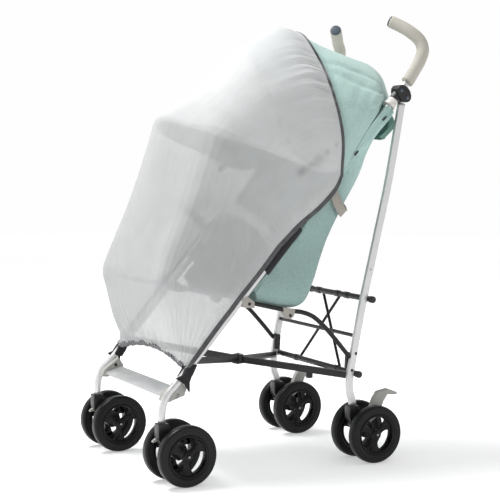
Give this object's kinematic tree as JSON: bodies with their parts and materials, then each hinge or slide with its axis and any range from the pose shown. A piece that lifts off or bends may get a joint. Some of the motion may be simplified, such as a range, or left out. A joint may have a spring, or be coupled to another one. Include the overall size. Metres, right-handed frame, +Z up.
{
  "type": "stroller mosquito net on stroller",
  "caption": "Pale mosquito net with dark elastic binding, drawn over the hood and front of a mint folding stroller with double wheels.",
  "frame": {"origin": "middle of the bounding box in plan, on the floor under the wheels", "axes": "+Z up, +X across the stroller, -Y towards the foot end, +Y towards the handles"},
  "size_m": [0.5, 0.7328, 1.0753],
  "materials": {
    "net": "fine open mesh, sheer, matt",
    "binding": "woven tape, matt",
    "hood_fabric": "plain woven polyester, matt",
    "visor_fabric": "plain woven polyester, matt",
    "seat_fabric": "plain woven polyester, matt",
    "webbing": "flat webbing",
    "pocket_fabric": "plain woven polyester, matt",
    "bumper_fabric": "padded cover, matt",
    "black_fabric": "textured fabric, matt",
    "tube": "satin",
    "plate": "brushed, satin",
    "black_tube": "black powder coat",
    "black_plastic": "moulded, matt",
    "grey_plastic": "moulded, matt",
    "beige_plastic": "moulded, matt",
    "cap_plastic": "moulded, satin",
    "foam": "closed foam, matt",
    "tyre": "foam tyre on a black core, matt"
  },
  "bodies": {
    "root": {"net_cloth": "net", "net_binding": "binding", "net_foot_elastic": "binding", "hood": "hood_fabric", "visor": "visor_fabric", "seat": "seat_fabric", "leg_rest": "seat_fabric", "recline_strap": "webbing", "rear_pocket": "pocket_fabric", "bumper_bar": "bumper_fabric", "front_tube_near": "tube", "front_tube_far": "tube", "rear_leg_near": "tube", "rear_leg_far": "tube", "hub_near": "black_plastic", "hub_far": "black_plastic", "collar_near": "beige_plastic", "collar_far": "beige_plastic", "grip_near": "foam", "grip_far": "foam", "grip_cap_near": "cap_plastic", "grip_cap_far": "cap_plastic", "arm_pad_near": "black_fabric", "arm_pad_far": "black_fabric", "seat_rail_near": "black_tube", "seat_rail_far": "black_tube", "front_bracket_near": "grey_plastic", "front_bracket_far": "grey_plastic", "rear_bracket_near": "grey_plastic", "rear_bracket_far": "grey_plastic", "lower_cross": "black_tube", "rear_bar_upper": "black_tube", "rear_bar_middle": "black_tube", "rear_bar_lower": "black_tube", "rear_rods": "black_tube", "foot_plate": "plate", "foot_bracket_near": "grey_plastic", "foot_bracket_far": "grey_plastic", "corner_strap_near": "black_fabric", "corner_strap_far": "black_fabric", "front_housing_near": "black_plastic", "front_housing_far": "black_plastic", "rear_housing_near": "black_plastic", "rear_housing_far": "black_plastic", "front_wheel_outer_near": "tyre", "front_wheel_outer_far": "tyre", "front_wheel_inner_near": "tyre", "front_wheel_inner_far": "tyre", "rear_wheel_outer_near": "tyre", "rear_wheel_outer_far": "tyre", "rear_wheel_inner_near": "tyre", "rear_wheel_inner_far": "tyre", "brake_pedal_near": "grey_plastic", "brake_pedal_far": "grey_plastic"}
  },
  "joints": []
}
